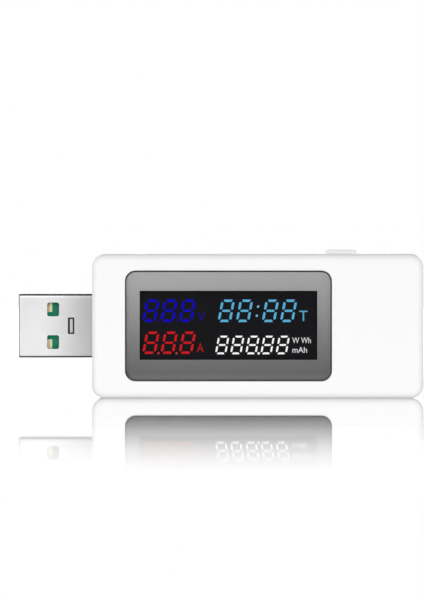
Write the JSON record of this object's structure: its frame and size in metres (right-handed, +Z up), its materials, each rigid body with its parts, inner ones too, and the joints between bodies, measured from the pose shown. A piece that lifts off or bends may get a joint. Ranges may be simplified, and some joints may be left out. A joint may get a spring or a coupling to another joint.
{
  "type": "usb power meter",
  "caption": "Slim inline USB power meter: white two-part case, display window, push button on one long edge, plug at one end and socket at the other.",
  "frame": {"origin": "middle of the meter's length and depth, on the surface that its long side stands on", "axes": "+X from the plug's tip to the socket, +Y from the display to the back, +Z up to the push button"},
  "size_m": [0.076, 0.0126, 0.0279],
  "materials": {
    "white_housing": "smooth satin",
    "button_plastic": "smooth satin",
    "clear_lens": "clear, gloss",
    "window_print": "printed grey",
    "black_tape": "matt",
    "gasket_foam": "foam",
    "polariser_film": "gloss",
    "display_glass": "clear",
    "colour_film": "printed film",
    "white_film": "matt film",
    "light_guide": "clear",
    "led_body": "matt",
    "tinned_metal": "tinned",
    "board_laminate": "solder mask",
    "chip_moulding": "matt",
    "resistor_body": "glazed",
    "capacitor_body": "ceramic",
    "switch_moulding": "matt",
    "shell_steel": "nickel plated",
    "green_insulator": "moulded",
    "gold_contact": "gold plated"
  },
  "bodies": {
    "meter": {"amplifier_chip": "chip_moulding", "amplifier_leads": "tinned_metal", "backlight_leds": "led_body", "bulk_capacitor": "capacitor_body", "bulk_capacitor_ends": "tinned_metal", "chip_capacitor_ends": "tinned_metal", "chip_capacitors": "capacitor_body", "chip_resistor_ends": "tinned_metal", "chip_resistors": "resistor_body", "circuit_board": "board_laminate", "colour_film": "colour_film", "controller_chip": "chip_moulding", "controller_leads": "tinned_metal", "crystal_can": "tinned_metal", "crystal_wires": "tinned_metal", "diffuser_film": "white_film", "display_clips": "tinned_metal", "display_gasket": "gasket_foam", "driver_chip": "chip_moulding", "driver_leads": "tinned_metal", "front_glass": "display_glass", "front_polariser": "polariser_film", "front_shell": "white_housing", "light_guide": "light_guide", "memory_chip": "chip_moulding", "memory_leads": "tinned_metal", "plug_data_contacts": "gold_contact", "plug_insulator": "green_insulator", "plug_power_contacts": "gold_contact", "plug_shell": "shell_steel", "rear_glass": "display_glass", "rear_polariser": "polariser_film", "rear_shell": "white_housing", "reflector_film": "white_film", "regulator": "chip_moulding", "regulator_leads": "tinned_metal", "shunt_resistor": "resistor_body", "shunt_terminals": "tinned_metal", "socket_data_contacts": "gold_contact", "socket_insulator": "green_insulator", "socket_power_contacts": "gold_contact", "socket_shell": "shell_steel", "switch_base": "switch_moulding", "switch_cover": "shell_steel", "switch_dome": "shell_steel", "switch_terminals": "tinned_metal", "window_lens": "clear_lens", "window_mask": "window_print", "window_tape": "black_tape"},
    "button": {"button_cap": "button_plastic", "switch_plunger": "switch_moulding"}
  },
  "joints": [
    {"name": "button_press", "type": "slide", "parent": "meter", "child": "button", "axis": [0, 0, -1], "range_m": [0, 0.00025], "stiffness_N_per_m": 6400, "deforming": ["switch_dome"]}
  ]
}
